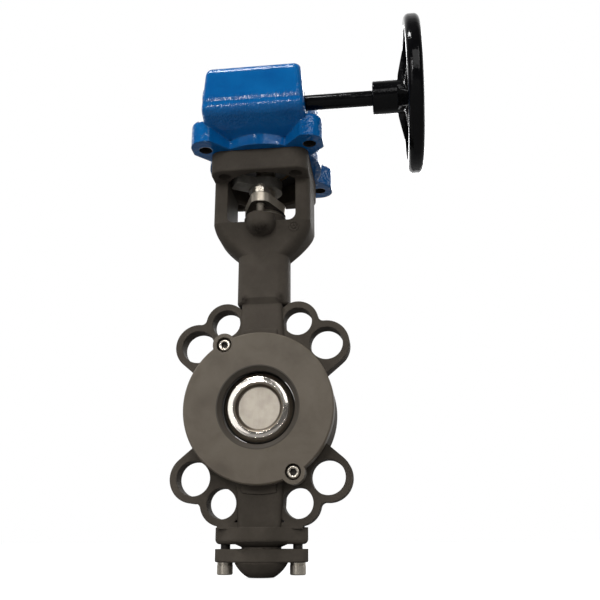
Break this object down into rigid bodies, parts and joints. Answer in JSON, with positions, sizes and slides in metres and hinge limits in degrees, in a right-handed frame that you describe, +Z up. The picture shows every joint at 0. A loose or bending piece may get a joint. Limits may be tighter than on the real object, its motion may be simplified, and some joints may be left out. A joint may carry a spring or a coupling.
{
  "type": "geared wafer butterfly valve",
  "caption": "Wafer butterfly valve with a dished disc, a yoke with a gland, and a worm gearbox that a side handwheel turns.",
  "frame": {"origin": "where the stem axis crosses the pipe axis, midway between the two pipe faces", "axes": "+Z up the stem towards the gearbox, +Y along the pipe from the seat retainer to the back, +X towards the handwheel"},
  "size_m": [0.1705, 0.1492, 0.359],
  "materials": {
    "cast_body": "matt dark grey-brown casting skin",
    "machined_plate": "machined and lightly coated plate",
    "disc_steel": "polished rim, satin dished centre",
    "stem_steel": "ground bar",
    "stainless": "plain stainless fasteners",
    "gland_steel": "satin cast stainless",
    "zinc_steel": "zinc plated",
    "seat_compound": "dark filled seat compound",
    "packing": "braided packing",
    "gasket": "fibre sheet",
    "seal_rubber": "moulded rubber",
    "bearing_bronze": "sintered bronze",
    "gear_iron": "cut teeth on a cast hub",
    "blue_paint": "glossy enamel over a casting",
    "black_paint": "glossy black coat",
    "indicator_plastic": "moulded cap"
  },
  "bodies": {
    "housing": {"valve_body": "cast_body", "seat_retainer": "machined_plate", "retainer_screws": "stainless", "seat_ring": "seat_compound", "upper_stem_bush": "bearing_bronze", "lower_stem_bush": "bearing_bronze", "disc_thrust_washers": "bearing_bronze", "junk_ring": "stainless", "packing_rings": "packing", "gland_bush": "stainless", "gland_flange": "gland_steel", "gland_studs": "stainless", "gland_nuts": "stainless", "bottom_thrust_washer": "bearing_bronze", "bottom_gasket": "gasket", "bottom_cover": "cast_body", "bottom_cover_screws": "stainless", "bottom_cover_washers": "stainless", "flange_studs": "zinc_steel", "gearbox_housing": "blue_paint", "wheel_bush": "bearing_bronze", "cover_gasket": "gasket", "gearbox_cover": "blue_paint", "cover_screws": "zinc_steel", "worm_bushes": "bearing_bronze", "worm_end_cap": "blue_paint", "shaft_seal": "seal_rubber", "stop_screws": "zinc_steel", "stop_lock_nuts": "zinc_steel"},
    "stem_train": {"disc": "disc_steel", "disc_pins": "stainless", "stem": "stem_steel", "stop_collar": "gland_steel", "stop_collar_screw": "stainless", "worm_wheel": "gear_iron", "stem_key": "stem_steel", "position_indicator": "indicator_plastic", "indicator_screw": "zinc_steel"},
    "handwheel_train": {"worm": "stem_steel", "worm_pin": "stem_steel", "input_shaft": "black_paint", "handwheel": "black_paint", "handwheel_pin": "black_paint"}
  },
  "joints": [
    {"name": "stem_turn", "type": "hinge", "parent": "housing", "child": "stem_train", "pos_m": [0, 0, 0], "axis": [0, 0, 1], "range_deg": [0, 90]},
    {"name": "handwheel_turn", "type": "hinge", "parent": "housing", "child": "handwheel_train", "pos_m": [0, -0.0415, 0.2045], "axis": [1, 0, 0], "range_deg": [0, 2160]}
  ],
  "couplings": [
    {"joint": "handwheel_turn", "follows": "stem_turn", "ratio": 24}
  ]
}
